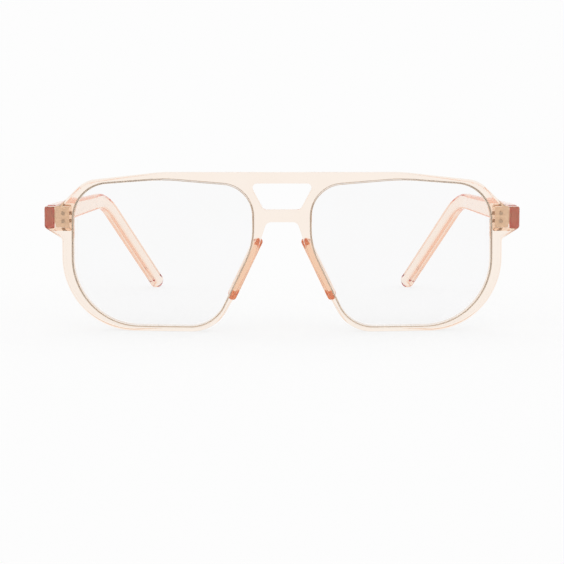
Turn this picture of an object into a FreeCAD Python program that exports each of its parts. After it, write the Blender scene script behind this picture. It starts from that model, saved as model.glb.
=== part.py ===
import FreeCAD, Part
import math
import os
import re

import Sketcher

# Spectacles with a double bridge. Millimetres, +Z up, the lenses face -Y and the temples run to +Y.
# The pair stands on the bottoms of its rims and on both temple tips. Sketches measure depth from the
# foremost point of the front, and every finished piece is then moved forward by half the overall depth.

DIMENSIONS = {
    # lens openings and bridge
    "bridge_width": 17.9,
    "lens_width": 54.7,
    "lens_height": 43.6,
    "brow_crown": 1.7,
    "nose_foot": 11.7,
    "nose_knee_drop": 17.4,
    "lens_lower_radius": 20.0,
    "lens_upper_radius": 11.0,
    "lens_nasal_radius": 9.5,
    "lens_foot_radius": 11.2,
    "lens_knee_radius": 22.0,
    "brow_radius": 60.0,
    # rims
    "rim_bottom": 1.8,
    "rim_top": 2.8,
    "rim_side": 3.5,
    "rim_nose": 4.3,
    "rim_corner_radius": 22.0,
    "rim_foot_radius": 12.2,
    "rim_foot_inset": 0.55,
    "nose_bend_inset": 0.65,
    "nose_bend_drop": 4.5,
    "nose_bend_radius": 30.0,
    "opening_peak": 0.45,
    "opening_tuck": 0.4,
    # the two bridge bars and the gap between them
    "brow_bar": 3.4,
    "gap_height": 7.8,
    "gap_flare": 0.75,
    "rim_beside_gap": 3.45,
    "gap_radius": 1.3,
    "lower_bridge": 3.8,
    "arch_radius": 2.0,
    # front section
    "front_radius": 320.0,
    "front_thickness": 4.0,
    # shoulders and end pieces
    "shoulder_width": 7.2,
    "shoulder_drop": 2.7,
    "shoulder_radius": 10.0,
    "shoulder_foot": 0.9,
    "shoulder_foot_radius": 4.0,
    "hinge_drop": 14.1,
    "end_reach": 5.2,
    "end_top": 3.45,
    "end_bottom": 3.0,
    "end_upper_radius": 0.6,
    "end_lower_radius": 1.2,
    "wedge_drop": 6.3,
    "wedge_radius": 1.5,
    "end_thickness": 4.7,
    "end_block_height": 8.0,
    "end_block_depth": 3.7,
    "end_block_inset": 0.4,
    # lenses
    "lens_thickness": 2.0,
    "lens_setback": 1.0,
    "groove_depth": 0.6,
    "lens_clearance": 0.05,
    # nose pads
    "pad_length": 20.5,
    "pad_base_width": 2.1,
    "pad_belly_width": 3.0,
    "pad_edge_width": 1.8,
    "pad_depth": 6.6,
    "pad_splay": 0.7,
    "pad_inset": 1.45,
    "pad_rise": 6.0,
    "pad_sink": 0.4,
    "pad_belly_trim": 1.0,
    "pad_edge_trim": 6.0,
    "pad_roundness": 0.48,
    # hinges
    "joint_gap": 0.3,
    "barrel_radius": 1.3,
    "barrel_clearance": 0.25,
    "barrel_offset": 0.3,
    "knuckle_count": 5,
    "knuckle_pitch": 1.28,
    "knuckle_gap": 0.08,
    "leaf_thickness": 0.9,
    "leaf_corner_radius": 0.5,
    "web_half_width": 0.9,
    "web_lap": 0.6,
    "front_leaf_width": 4.7,
    "temple_leaf_length": 9.0,
    "temple_leaf_height": 4.8,
    "screw_radius": 0.6,
    "screw_clearance": 0.04,
    "screw_head_radius": 1.1,
    "screw_head_height": 0.6,
    "screw_head_round": 0.2,
    "slot_width": 0.3,
    "slot_depth": 0.3,
    "rivet_radius": 0.55,
    "rivet_depth": 2.2,
    "front_rivet_pitch": 2.4,
    "temple_rivet_pitch": 4.4,
    # temples
    "overall_depth": 135.6,
    "temple_thickness": 3.1,
    "temple_height": 7.2,
    "temple_bend_height": 5.2,
    "temple_straight": 21.0,
    "temple_toe": 6.1,
    "temple_rise": 0.9,
    "temple_corner_radius": 0.8,
    "ear_start": 80.0,
    "ear_toe": 22.8,
    "ear_slope": 41.0,
    "ear_width": 5.0,
    "ear_upper_radius": 22.0,
    "ear_lower_radius": 15.0,
    "toe_start_radius": 150.0,
    "toe_radius": 60.0,
    "tip_flat": 0.2,
}

SIDES = ("left", "right")

doc = FreeCAD.newDocument("spectacles")
sheet = doc.addObject("Spreadsheet::Sheet", "sizes")
for row, (alias, value) in enumerate(DIMENSIONS.items(), start=1):
    sheet.set(f"A{row}", alias)
    sheet.set(f"B{row}", str(value))
    sheet.setAlias(f"B{row}", alias)
doc.recompute()


def cells(expression):
    """The expression with every alias written as a cell of the sheet."""
    return re.sub(r"[a-z_]+", lambda word: f"sizes.{word[0]}" if word[0] in DIMENSIONS else word[0], expression)


def number(expression):
    """The value of an expression, as a plain number."""
    return float(sheet.evalExpression(cells(expression)))


# Shared places, as expressions of the driving dimensions.
HALF_BRIDGE = "(bridge_width / 2)"
OPENING_SIDE = f"({HALF_BRIDGE} + lens_width)"
OUTER_SIDE = f"({OPENING_SIDE} + rim_side)"
END_X = f"({OUTER_SIDE} + end_reach)"
LENS_TOP = "(rim_bottom + lens_height)"
TOP = f"({LENS_TOP} + rim_top)"
KNEE_Z = f"({LENS_TOP} - brow_crown - nose_knee_drop)"
NOSE_SLANT = f"atan(nose_foot / ({KNEE_Z} - rim_bottom))"
HINGE_Z = f"({TOP} - hinge_drop)"
JOINT_Y = f"(front_radius - sqrt(front_radius ^ 2 - {END_X} ^ 2) + end_thickness)"
TEMPLE_INNER = f"({END_X} - temple_thickness)"
TEMPLE_FRONT = f"({JOINT_Y} + joint_gap)"
AXIS_X = f"({TEMPLE_INNER} - barrel_offset - barrel_radius)"
AXIS_Y = f"({JOINT_Y} + leaf_thickness + barrel_clearance + barrel_radius)"
LEAF_INNER = f"({TEMPLE_INNER} - barrel_offset - front_leaf_width)"
KNUCKLE_HEIGHT = "(knuckle_pitch - knuckle_gap)"
HINGE_BASE = f"({HINGE_Z} - (knuckle_count * knuckle_pitch - knuckle_gap) / 2)"
HINGE_TOP = f"({HINGE_Z} + (knuckle_count * knuckle_pitch - knuckle_gap) / 2)"
TEMPLE_LEAF_START = f"({AXIS_Y} + barrel_radius + barrel_offset)"
BEYOND = 10


def origin_plane(body, role):
    """One of the body's own origin planes or axes."""
    return next(feature for feature in body.Origin.OriginFeatures if feature.Role == role)


def bind(thing, path, expression):
    thing.setExpression(path, cells(expression))


def attached_sketch(body, name, role, offset=("0", "0", "0"), turn=None):
    """A sketch of the body on one of its origin planes, moved in the plane's own axes."""
    sketch = body.newObject("Sketcher::SketchObject", name)
    sketch.AttachmentSupport = [(origin_plane(body, role), "")]
    sketch.MapMode = "FlatFace"
    sketch.AttachmentOffset = FreeCAD.Placement(
        FreeCAD.Vector(*(number(part) for part in offset)),
        FreeCAD.Rotation(FreeCAD.Vector(0, 0, 1), number(turn) if turn else 0.0),
    )
    for letter, part in zip("xyz", offset):
        bind(sketch, f"AttachmentOffset.Base.{letter}", part)
    if turn:
        bind(sketch, "AttachmentOffset.Rotation.Angle", f"( {turn} ) * 1 deg")
    return sketch


def turn_at(before, corner, after):
    """Unit directions in and out of a corner, and the signed angle between them."""
    come = (corner - before).normalize()
    leave = (after - corner).normalize()
    cross = come.x * leave.y - come.y * leave.x
    return come, leave, math.atan2(cross, come.dot(leave))


def rounded_outline(sketch, corners):
    """A closed outline of straight sides through the corners, each given as (x, y, radius) expressions.

    A radius of None leaves that corner sharp. Every size is a constraint bound to the sheet.
    """
    count = len(corners)
    points = [FreeCAD.Vector(number(x), number(y), 0) for x, y, _ in corners]
    starts = list(points)
    ends = list(points)
    arcs = {}
    for index, (_, _, radius) in enumerate(corners):
        if radius is None:
            continue
        come, leave, turn = turn_at(points[index - 1], points[index], points[(index + 1) % count])
        size = number(radius)
        back = size * math.tan(abs(turn) / 2)
        ends[index] = points[index] - come * back
        starts[index] = points[index] + leave * back
        side = 1 if turn > 0 else -1
        middle = ends[index] + FreeCAD.Vector(-come.y, come.x, 0) * (side * size)
        first, last = (ends[index], starts[index]) if turn > 0 else (starts[index], ends[index])
        angles = [math.atan2((p - middle).y, (p - middle).x) for p in (first, last)]
        arcs[index] = (Part.ArcOfCircle(Part.Circle(middle, FreeCAD.Vector(0, 0, 1), size), *angles), turn > 0)
    base = sketch.GeometryCount
    lines = [
        Part.LineSegment(starts[index], ends[(index + 1) % count]) for index in range(count)
    ]
    sketch.addGeometry(lines, False)
    rules = []
    sized = []
    for index, (x, y, radius) in enumerate(corners):
        before = base + (index - 1) % count
        after = base + index
        if radius is None:
            rules.append(Sketcher.Constraint("Coincident", before, 2, after, 1))
            spot = (after, 1)
        else:
            arc, forward = arcs[index]
            arc_id = sketch.addGeometry(arc, False)
            point_id = sketch.addGeometry(Part.Point(points[index]), True)
            enter, leave = (1, 2) if forward else (2, 1)
            rules.append(Sketcher.Constraint("Tangent", before, 2, arc_id, enter))
            rules.append(Sketcher.Constraint("Tangent", after, 1, arc_id, leave))
            rules.append(Sketcher.Constraint("PointOnObject", point_id, 1, before))
            rules.append(Sketcher.Constraint("PointOnObject", point_id, 1, after))
            sized.append((Sketcher.Constraint("Radius", arc_id, number(radius)), radius))
            spot = (point_id, 1)
        sized.append((Sketcher.Constraint("DistanceX", -1, 1, *spot, number(x)), x))
        sized.append((Sketcher.Constraint("DistanceY", -1, 1, *spot, number(y)), y))
    first = sketch.ConstraintCount + len(rules)
    sketch.addConstraint(rules + [rule for rule, _ in sized])
    for index, (_, expression) in enumerate(sized, start=first):
        bind(sketch, f"Constraints[{index}]", expression)
    return sketch


def circle(sketch, x, y, radius):
    """A circle whose centre and radius are bound to the sheet."""
    spot = FreeCAD.Vector(number(x), number(y), 0)
    shape = Part.Circle(spot, FreeCAD.Vector(0, 0, 1), number(radius))
    index = sketch.addGeometry(shape, False)
    first = sketch.ConstraintCount
    sketch.addConstraint([
        Sketcher.Constraint("DistanceX", -1, 1, index, 3, number(x)),
        Sketcher.Constraint("DistanceY", -1, 1, index, 3, number(y)),
        Sketcher.Constraint("Radius", index, number(radius)),
    ])
    for shift, expression in enumerate((x, y, radius)):
        bind(sketch, f"Constraints[{first + shift}]", expression)
    return sketch


def rectangle(left, bottom, right, top, radius=None):
    """The corners of an upright rectangle."""
    return [(left, bottom, radius), (right, bottom, radius), (right, top, radius), (left, top, radius)]


def pad(body, name, sketch, length, backward=False):
    """Material added along the sketch's normal, or against it."""
    feature = body.newObject("PartDesign::Pad", name)
    feature.Profile = sketch
    bind(feature, "Length", length)
    feature.Reversed = backward
    doc.recompute()
    return feature


def pocket_through(body, name, sketch):
    """Material removed right through the body on both sides of the sketch."""
    before = body.Shape.Volume
    feature = body.newObject("PartDesign::Pocket", name)
    feature.Profile = sketch
    feature.Type = "ThroughAll"
    feature.SideType = "Symmetric"
    doc.recompute()
    if body.Shape.Volume >= before:
        raise ValueError(f"{name} cuts nothing")
    return feature


def new_body(label):
    body = doc.addObject("PartDesign::Body", label)
    body.Label = label
    return body


def seat(thing):
    """Move a finished piece from the sketches' depth to the frame centred on the overall depth."""
    bind(thing, "Placement.Base.y", "-overall_depth / 2")
    doc.recompute()
    return thing


def boolean(kind, label, base, tool):
    thing = doc.addObject(f"Part::{kind}", label)
    thing.Label = label
    thing.Base = base
    thing.Tool = tool
    doc.recompute()
    return thing


def mirrored(source, label):
    """The same piece on the other side of the nose."""
    thing = doc.addObject("Part::Mirroring", label)
    thing.Label = label
    thing.Source = source
    thing.Normal = FreeCAD.Vector(1, 0, 0)
    doc.recompute()
    return thing


def fused(label, pieces):
    thing = doc.addObject("Part::MultiFuse", label)
    thing.Shapes = pieces
    doc.recompute()
    return thing


def curved_slab(label, setback, thickness):
    """A piece of the curved sheet that the front is cut from, between two upright coaxial cylinders."""
    walls = []
    for name, radius in (("outer", f"front_radius - {setback}"),
                         ("inner", f"front_radius - {setback} - {thickness}")):
        wall = doc.addObject("Part::Cylinder", f"{label}_{name}")
        bind(wall, "Radius", radius)
        bind(wall, "Height", f"{TOP} + {2 * BEYOND}")
        bind(wall, "Placement.Base.y", "front_radius")
        bind(wall, "Placement.Base.z", f"-{BEYOND}")
        walls.append(wall)
    return boolean("Cut", label, *walls)


def front_outline():
    """Half the outer outline, from the middle of the nose arch round the rim to the middle of the brow."""
    arch = f"({TOP} - brow_bar - gap_height - lower_bridge)"
    return [
        ("0", arch, None),
        (f"{HALF_BRIDGE} - rim_nose", arch, "arch_radius"),
        (f"{HALF_BRIDGE} - nose_bend_inset", f"{KNEE_Z} - nose_bend_drop", "nose_bend_radius"),
        (f"{HALF_BRIDGE} + nose_foot - rim_foot_inset", "0", "rim_foot_radius"),
        (OUTER_SIDE, "0", "rim_corner_radius"),
        (OUTER_SIDE, f"{HINGE_Z} - wedge_drop", "wedge_radius"),
        (END_X, f"{HINGE_Z} - end_bottom", "end_lower_radius"),
        (END_X, f"{HINGE_Z} + end_top", "end_upper_radius"),
        (f"{OUTER_SIDE} + shoulder_foot", f"{HINGE_Z} + end_top", "shoulder_foot_radius"),
        (f"{OUTER_SIDE} - shoulder_width", f"{TOP} - shoulder_drop", "shoulder_radius"),
        (f"{HALF_BRIDGE} + lens_width / 2", TOP, "brow_radius"),
        ("0", TOP, None),
    ]


def opening_outline():
    """The lens opening on the +X side."""
    crown = f"({LENS_TOP} - brow_crown)"
    return [
        (f"{HALF_BRIDGE} + nose_foot", "rim_bottom", "lens_foot_radius"),
        (OPENING_SIDE, "rim_bottom", "lens_lower_radius"),
        (f"{OPENING_SIDE} - opening_tuck", crown, "lens_upper_radius"),
        (f"{HALF_BRIDGE} + lens_width / 2", f"{LENS_TOP} + opening_peak", "brow_radius"),
        (HALF_BRIDGE, crown, "lens_nasal_radius"),
        (HALF_BRIDGE, KNEE_Z, "lens_knee_radius"),
    ]


def front_blank():
    """The outer outline with the gap between the bridge bars, through the whole depth of the front."""
    body = new_body("front_blank")
    sketch = rounded_outline(
        attached_sketch(body, "front_outline", "XZ_Plane", ("0", "0", f"-{JOINT_Y}")), front_outline()
    )
    pad(body, "front_depth", sketch, f"{JOINT_Y} + {BEYOND}")
    gap = rounded_outline(attached_sketch(body, "bridge_gap_outline", "XZ_Plane"), [
        ("0", f"{TOP} - brow_bar - gap_height", None),
        (f"{HALF_BRIDGE} - rim_beside_gap", f"{TOP} - brow_bar - gap_height", "gap_radius"),
        (f"{HALF_BRIDGE} + gap_flare", f"{TOP} - brow_bar", "gap_radius"),
        ("0", f"{TOP} - brow_bar", None),
    ])
    pocket_through(body, "bridge_gap", gap)
    mirror = body.newObject("PartDesign::Mirrored", "other_half")
    mirror.TransformMode = "Whole shape"
    mirror.MirrorPlane = (origin_plane(body, "YZ_Plane"), [""])
    body.Tip = mirror
    doc.recompute()
    return body


def end_block():
    """The deeper part of the end piece, which carries the hinge."""
    block = doc.addObject("Part::Box", "end_block")
    bind(block, "Length", "rim_side - end_block_inset + end_reach")
    bind(block, "Width", "end_block_depth")
    bind(block, "Height", "end_block_height")
    bind(block, "Placement.Base.x", f"{OPENING_SIDE} + end_block_inset")
    bind(block, "Placement.Base.y", f"{JOINT_Y} - end_block_depth")
    bind(block, "Placement.Base.z", f"{HINGE_Z} - end_block_height / 2")
    doc.recompute()
    return block


def opening_prism(label, sketch, grow):
    """The lens opening carried through the front, with its outline moved outwards by grow."""
    outline = sketch
    if grow:
        outline = doc.addObject("Part::Offset2D", f"{label}_outline")
        outline.Source = sketch
        outline.Join = "Arc"
        bind(outline, "Value", grow)
    prism = doc.addObject("Part::Extrusion", f"{label}_prism")
    prism.Base = outline
    prism.DirMode = "Custom"
    prism.Dir = FreeCAD.Vector(0, 1, 0)
    prism.Solid = True
    bind(prism, "LengthFwd", f"{JOINT_Y} + {BEYOND}")
    bind(prism, "LengthRev", f"{BEYOND}")
    doc.recompute()
    return prism


def rivet(name, axis, x, y, z, length):
    """A plain pin along +Y or +X."""
    pin = doc.addObject("Part::Cylinder", name)
    turned = {"y": (FreeCAD.Vector(1, 0, 0), -90), "x": (FreeCAD.Vector(0, 1, 0), 90)}
    pin.Placement = FreeCAD.Placement(FreeCAD.Vector(), FreeCAD.Rotation(*turned[axis]))
    bind(pin, "Radius", "rivet_radius")
    bind(pin, "Height", length)
    for letter, place in zip("xyz", (x, y, z)):
        bind(pin, f"Placement.Base.{letter}", place)
    return pin


def rivet_pair(label, pins):
    """The pins as one piece; a pair of its own stays unmoved to cut their holes."""
    pair = doc.addObject("Part::Compound", label)
    pair.Label = label
    pair.Links = pins
    doc.recompute()
    return pair


def front_leaf_rivets():
    """Two pins, one over the other, from the back of the leaf into the end piece."""
    middle = f"({LEAF_INNER} + front_leaf_width / 2)"
    return rivet_pair("front_rivet_holes", [
        rivet(f"front_rivet_{name}", "y", middle, f"{JOINT_Y} - rivet_depth",
              f"{HINGE_Z} {sign} front_rivet_pitch / 2", "rivet_depth + leaf_thickness")
        for name, sign in (("upper", "+"), ("lower", "-"))
    ])


def temple_leaf_rivets():
    """Two pins in a row, from the inner face of the leaf into the temple."""
    middle = f"({TEMPLE_LEAF_START} + temple_leaf_length / 2)"
    return rivet_pair("temple_rivet_holes", [
        rivet(f"temple_rivet_{name}", "x", f"{TEMPLE_INNER} - leaf_thickness",
              f"{middle} {sign} temple_rivet_pitch / 2", HINGE_Z, "rivet_depth + leaf_thickness")
        for name, sign in (("back", "+"), ("front", "-"))
    ])


def knuckles(body, name, first, web, hole):
    """Every second barrel of the hinge with its web to the leaf, and the hole for the screw."""
    floor = ("0", "0", f"{HINGE_BASE} + {first} * knuckle_pitch")
    barrel = circle(attached_sketch(body, f"{name}_barrel_outline", "XY_Plane", floor),
                    AXIS_X, AXIS_Y, "barrel_radius")
    web_outline = rounded_outline(attached_sketch(body, f"{name}_web_outline", "XY_Plane", floor), web)
    pads = [
        pad(body, f"{name}_web", web_outline, KNUCKLE_HEIGHT),
        pad(body, f"{name}_barrel", barrel, KNUCKLE_HEIGHT),
    ]
    rows = body.newObject("PartDesign::LinearPattern", f"{name}_knuckles")
    rows.Originals = pads
    rows.Direction = (origin_plane(body, "Z_Axis"), [""])
    rows.Mode = "Extent"
    bind(rows, "Length", f"(knuckle_count - 1 - 2 * {first}) * knuckle_pitch")
    bind(rows, "Occurrences", f"(knuckle_count + 1) / 2 - {first}")
    body.Tip = rows
    doc.recompute()
    bore = circle(attached_sketch(body, f"{name}_bore_outline", "XY_Plane"), AXIS_X, AXIS_Y, hole)
    body.Tip = pocket_through(body, f"{name}_bore", bore)
    doc.recompute()
    return body


def front_leaf():
    """The leaf on the back of the end piece, with the outer and middle knuckles."""
    body = new_body("front_leaf_blank")
    plate = rounded_outline(
        attached_sketch(body, "front_plate_outline", "XZ_Plane", ("0", "0", f"-{JOINT_Y}")),
        rectangle(LEAF_INNER, HINGE_BASE, f"{TEMPLE_INNER} - barrel_offset", HINGE_TOP,
                  "leaf_corner_radius"),
    )
    pad(body, "front_plate", plate, "leaf_thickness", backward=True)
    web = rectangle(f"{AXIS_X} - web_half_width", f"{JOINT_Y} + leaf_thickness / 2",
                    f"{AXIS_X} + web_half_width", AXIS_Y)
    return knuckles(body, "front_leaf", 0, web, "screw_radius")


def temple_leaf():
    """The leaf on the inner face of the temple, with the knuckles between those of the front leaf."""
    body = new_body("temple_leaf_blank")
    plate = rounded_outline(
        attached_sketch(body, "temple_plate_outline", "YZ_Plane", ("0", "0", TEMPLE_INNER)),
        rectangle(TEMPLE_LEAF_START, f"{HINGE_Z} - temple_leaf_height / 2",
                  f"{TEMPLE_LEAF_START} + temple_leaf_length", f"{HINGE_Z} + temple_leaf_height / 2",
                  "leaf_corner_radius"),
    )
    pad(body, "temple_plate", plate, "leaf_thickness", backward=True)
    web = rectangle(f"{TEMPLE_INNER} - leaf_thickness", AXIS_Y, TEMPLE_INNER, f"{TEMPLE_LEAF_START} + web_lap")
    return knuckles(body, "temple_leaf", 1, web, "screw_radius + screw_clearance")


def hinge_screw():
    """A cheese-head screw that is the pin of the hinge, with a slot across its head."""
    body = new_body("hinge_screw_left")
    profile = rounded_outline(
        attached_sketch(body, "screw_profile", "XZ_Plane", (AXIS_X, "0", f"-{AXIS_Y}")), [
            ("0", HINGE_BASE, None),
            ("screw_radius", HINGE_BASE, None),
            ("screw_radius", HINGE_TOP, None),
            ("screw_head_radius", HINGE_TOP, None),
            ("screw_head_radius", f"{HINGE_TOP} + screw_head_height", "screw_head_round"),
            ("0", f"{HINGE_TOP} + screw_head_height", None),
        ])
    turned = body.newObject("PartDesign::Revolution", "screw_turned")
    turned.Profile = profile
    turned.ReferenceAxis = (profile, ["V_Axis"])
    turned.Angle = 360
    doc.recompute()
    slot = rounded_outline(
        attached_sketch(body, "screw_slot_outline", "YZ_Plane", (AXIS_Y, "0", "0")),
        rectangle("-slot_width / 2", f"{HINGE_TOP} + screw_head_height - slot_depth",
                  "slot_width / 2", f"{HINGE_TOP} + {BEYOND}"),
    )
    pocket_through(body, "screw_slot", slot)
    return body


def nose_pad(front):
    """A fin behind the nose edge of the rim, swelling and then thinning towards its back edge."""
    body = new_body("nose_pad_blank")
    sections = []
    for name, depth, width, length, splay in (
        ("root", "front_thickness - pad_sink", "pad_base_width", "pad_length", "0"),
        ("belly", "front_thickness + pad_depth / 2", "pad_belly_width", "pad_length - pad_belly_trim", "pad_splay / 2"),
        ("edge", "front_thickness + pad_depth", "pad_edge_width", "pad_length - pad_edge_trim", "pad_splay"),
    ):
        inset = f"(pad_inset - {splay})"
        x = f"{HALF_BRIDGE} + nose_foot / 2 - pad_rise * sin({NOSE_SLANT}) - {inset} * cos({NOSE_SLANT})"
        z = f"(rim_bottom + {KNEE_Z}) / 2 + pad_rise * cos({NOSE_SLANT}) - {inset} * sin({NOSE_SLANT})"
        sketch = attached_sketch(body, f"pad_{name}", "XZ_Plane", (x, z, f"-({depth})"), NOSE_SLANT)
        rounded_outline(sketch, rectangle(f"-{width} / 2", f"-({length}) / 2", f"{width} / 2",
                                          f"({length}) / 2", f"pad_roundness * {width}"))
        sections.append(sketch)
    loft = body.newObject("PartDesign::AdditiveLoft", "pad_loft")
    loft.Profile = sections[0]
    loft.Sections = sections[1:]
    doc.recompute()
    return boolean("Cut", "nose_pad_left", body, front)


def temple():
    """A temple: a strip in plan that toes in twice, cut to its side outline with the ear end turned down."""
    body = new_body("temple_blank")
    toe = "tan(temple_toe * 1 deg)"
    ear = "tan(ear_toe * 1 deg)"
    toe_y = f"({TEMPLE_FRONT} + temple_straight)"
    ear_y = f"({TEMPLE_FRONT} + ear_start)"
    end_y = f"(overall_depth + {BEYOND})"
    toe_shift = "temple_thickness * tan(temple_toe / 2 * 1 deg)"
    bend = "((temple_toe + ear_toe) / 2 * 1 deg)"
    half_turn = "((ear_toe - temple_toe) / 2 * 1 deg)"
    ear_x = f"({END_X} - ({ear_y} - {toe_y}) * {toe})"
    end_x = f"({ear_x} - ({end_y} - {ear_y}) * {ear})"
    plan = rounded_outline(attached_sketch(body, "temple_plan", "XY_Plane", ("0", "0", f"-{BEYOND}")), [
        (END_X, TEMPLE_FRONT, None),
        (END_X, toe_y, "toe_start_radius"),
        (ear_x, ear_y, "toe_radius"),
        (end_x, end_y, None),
        (f"{end_x} - temple_thickness / cos(ear_toe * 1 deg)", end_y, None),
        (f"{ear_x} - temple_thickness * cos({bend}) / cos({half_turn})",
         f"{ear_y} - temple_thickness * sin({bend}) / cos({half_turn})", "toe_radius - temple_thickness"),
        (TEMPLE_INNER, f"{toe_y} - {toe_shift}", "toe_start_radius - temple_thickness"),
        (TEMPLE_INNER, TEMPLE_FRONT, None),
    ])
    pad(body, "temple_strip", plan, f"{TOP} + {2 * BEYOND}")
    slope = "(ear_slope * 1 deg)"
    half = "(ear_width / 2)"
    tip_y = f"(overall_depth - {half} - tip_flat * (cos{slope} + sin{slope} - 1))"
    tip_z = f"({half} + tip_flat * (cos{slope} + sin{slope} - 1))"
    high = f"({HINGE_Z} + temple_rise + temple_bend_height / 2)"
    low = f"({HINGE_Z} + temple_rise - temple_bend_height / 2)"
    up_run = f"(({high} - {tip_z} - {half} * cos{slope}) / sin{slope})"
    low_run = f"(({low} - {tip_z} + {half} * cos{slope}) / sin{slope})"
    profile = rounded_outline(attached_sketch(body, "temple_profile", "YZ_Plane"), [
        (TEMPLE_FRONT, f"{HINGE_Z} - temple_height / 2", "temple_corner_radius"),
        (f"{tip_y} - {half} * sin{slope} - {low_run} * cos{slope}", low, "ear_lower_radius"),
        (f"{tip_y} - {half} * sin{slope} + {half} * cos{slope}",
         f"{tip_z} - {half} * cos{slope} - {half} * sin{slope}", f"{half} - tip_flat"),
        (f"{tip_y} + {half} * sin{slope} + {half} * cos{slope}",
         f"{tip_z} + {half} * cos{slope} - {half} * sin{slope}", f"{half} - tip_flat"),
        (f"{tip_y} + {half} * sin{slope} - {up_run} * cos{slope}", high, "ear_upper_radius"),
        (TEMPLE_FRONT, f"{HINGE_Z} + temple_height / 2", "temple_corner_radius"),
    ])
    rounded_outline(profile, rectangle(f"-{2 * BEYOND}", f"-{2 * BEYOND}", f"overall_depth + {2 * BEYOND}",
                                       f"{TOP} + {2 * BEYOND}"))
    pocket_through(body, "temple_trim", profile)
    return body


opening = doc.addObject("Sketcher::SketchObject", "lens_opening")
opening.Placement = FreeCAD.Placement(FreeCAD.Vector(), FreeCAD.Rotation(FreeCAD.Vector(1, 0, 0), 90))
rounded_outline(opening, opening_outline())
doc.recompute()

blank = front_blank()
block = end_block()
sheet_of_front = curved_slab("front_sheet", "0", "front_thickness")
front_solid = boolean("Common", "front_solid", blank,
                      fused("front_mass", [sheet_of_front, block, mirrored(block, "end_block_right")]))
groove = boolean("Common", "lens_groove", opening_prism("groove", opening, "groove_depth"),
                 curved_slab("groove_sheet", "(lens_setback - lens_clearance)",
                             "(lens_thickness + 2 * lens_clearance)"))
front_rivet_holes = front_leaf_rivets()
temple_rivet_holes = temple_leaf_rivets()
cutters = [opening_prism("opening", opening, None), groove, front_rivet_holes]
cutters += [mirrored(cutter, f"{cutter.Name}_right") for cutter in cutters]

left_pieces = {
    "lens": boolean("Common", "lens_left",
                    opening_prism("lens", opening, "groove_depth - lens_clearance"),
                    curved_slab("lens_sheet", "lens_setback", "lens_thickness")),
    "nose_pad": nose_pad(front_solid),
    "front_hinge_leaf": boolean("Cut", "front_hinge_leaf_left", front_leaf(), front_rivet_holes),
    "temple_hinge_leaf": boolean("Cut", "temple_hinge_leaf_left", temple_leaf(), temple_rivet_holes),
    "hinge_screw": hinge_screw(),
    "temple": boolean("Cut", "temple_left", temple(), temple_rivet_holes),
    "front_leaf_rivets": rivet_pair("front_leaf_rivets_left", [front_rivet_holes]),
    "temple_leaf_rivets": rivet_pair("temple_leaf_rivets_left", [temple_rivet_holes]),
}
nodes = [boolean("Cut", "front_frame", front_solid, fused("front_cutters", cutters))]
for name, piece in left_pieces.items():
    nodes += [piece, mirrored(piece, f"{name}_right")]
for node in nodes:
    if not node.Label.endswith("_right"):
        seat(node)
doc.recompute()

for thing in doc.Objects:
    if {"Invalid", "Error"} & set(thing.State):
        raise ValueError(f"{thing.Label} failed: {thing.State}")
for node in nodes:
    if node.Shape.isNull() or not node.Shape.isValid():
        raise ValueError(f"{node.Label} has no valid shape")

os.makedirs("parts", exist_ok=True)
for node in nodes:
    node.Shape.exportStep(f"parts/{node.Label}.step")
    box = node.Shape.BoundBox
    print(f"{node.Label}: {len(node.Shape.Solids)} solid, volume {node.Shape.Volume:.1f}, "
          f"x {box.XMin:.2f} {box.XMax:.2f}, y {box.YMin:.2f} {box.YMax:.2f}, z {box.ZMin:.2f} {box.ZMax:.2f}")
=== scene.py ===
import math

import bmesh
import bpy
import numpy as np
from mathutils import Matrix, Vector
from mathutils.geometry import delaunay_2d_cdt


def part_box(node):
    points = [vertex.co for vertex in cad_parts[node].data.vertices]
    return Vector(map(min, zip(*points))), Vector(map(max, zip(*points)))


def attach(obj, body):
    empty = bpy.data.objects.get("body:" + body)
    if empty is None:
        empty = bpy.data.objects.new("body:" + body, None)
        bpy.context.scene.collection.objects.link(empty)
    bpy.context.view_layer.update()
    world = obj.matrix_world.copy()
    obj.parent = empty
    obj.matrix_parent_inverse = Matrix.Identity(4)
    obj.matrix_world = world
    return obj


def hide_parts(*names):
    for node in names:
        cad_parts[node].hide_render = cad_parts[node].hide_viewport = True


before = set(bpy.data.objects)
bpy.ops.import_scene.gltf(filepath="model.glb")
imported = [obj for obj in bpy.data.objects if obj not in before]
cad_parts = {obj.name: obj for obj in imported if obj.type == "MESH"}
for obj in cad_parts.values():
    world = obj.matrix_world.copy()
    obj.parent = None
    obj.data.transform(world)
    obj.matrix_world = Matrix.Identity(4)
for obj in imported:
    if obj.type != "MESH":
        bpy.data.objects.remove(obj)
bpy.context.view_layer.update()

# Clear peach spectacles with a double bridge. The outlines below are in millimetres, in the frame of
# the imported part: +Z up, the lenses face -Y, the temples run to +Y. "Depth" is measured from the foremost
# point of the front.

MM = 0.001
FRONT, BACK = 0, 1
SIDES = {"left": 1, "right": -1}

# how finely outlines are cut, the least area of a patch of a face, the angle that leaves an edge sharp,
# how near points are merged, and how far flat faces rule the shading of their corners
STEP = 0.5
ARC_STEP = math.radians(6)
SLIVER = 0.01
SHARP = math.radians(38)
MERGE_WITHIN = 0.002
FLAT_WEIGHT = 60


def box_mm(node):
    low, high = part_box(node)
    return np.array(low) / MM, np.array(high) / MM


FRONT_LOW, FRONT_HIGH = box_mm("front_frame")
LENS_LOW, LENS_HIGH = box_mm("lens_left")
LEAF_LOW, LEAF_HIGH = box_mm("front_hinge_leaf_left")
TEMPLE_LOW, TEMPLE_HIGH = box_mm("temple_left")

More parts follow.
